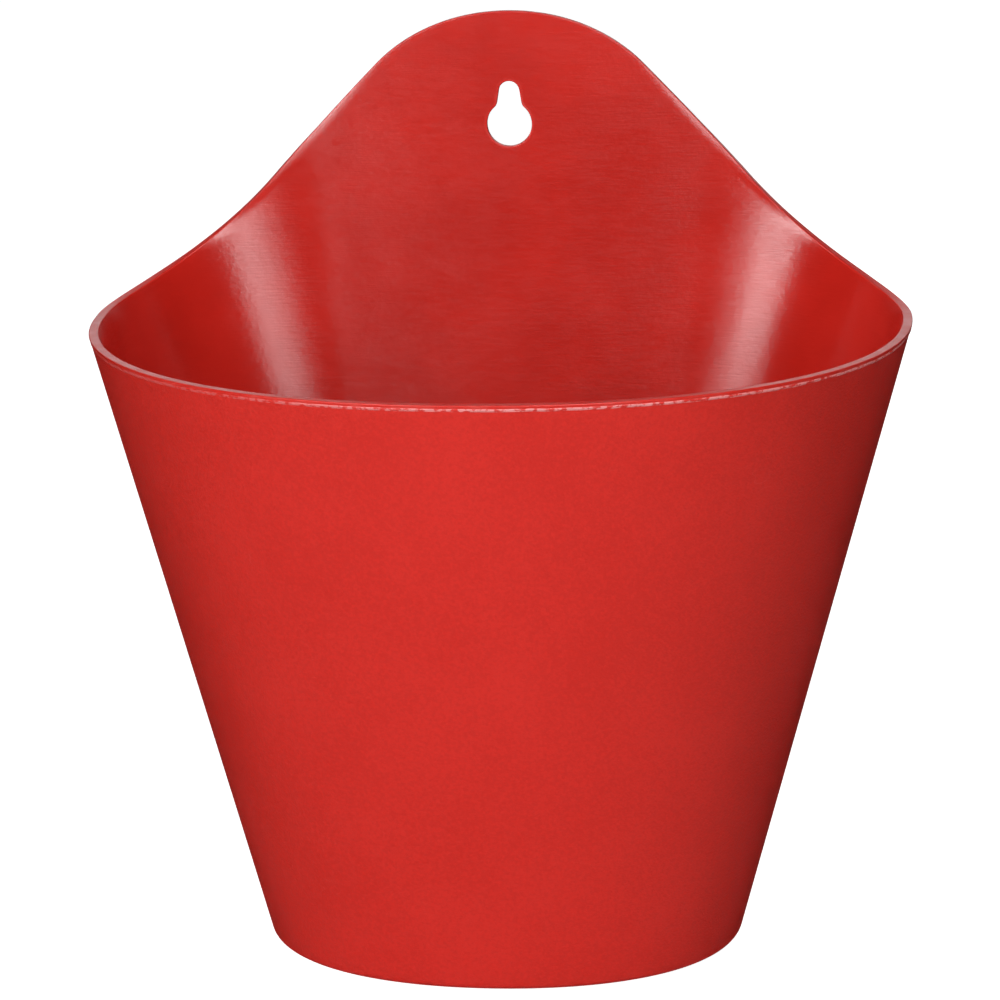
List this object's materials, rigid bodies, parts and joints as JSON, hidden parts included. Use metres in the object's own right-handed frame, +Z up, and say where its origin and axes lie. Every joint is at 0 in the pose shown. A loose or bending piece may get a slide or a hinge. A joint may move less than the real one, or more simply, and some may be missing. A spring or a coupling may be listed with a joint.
{
  "type": "wall planter",
  "caption": "Flat-backed tapered pot that stands or hangs on a wall, with a level front rim and a raised bell-shaped back with a keyhole hanger.",
  "frame": {"origin": "middle of the object's box on the base plane; the flat back face is at y = +0.07575", "axes": "+X along the wall, to the right seen from the front; +Y into the wall, square to the flat back face; +Z up"},
  "size_m": [0.22, 0.1516, 0.2464],
  "materials": {
    "pot_plastic": "satin"
  },
  "bodies": {
    "root": {"pot_shell": "pot_plastic"}
  },
  "joints": []
}
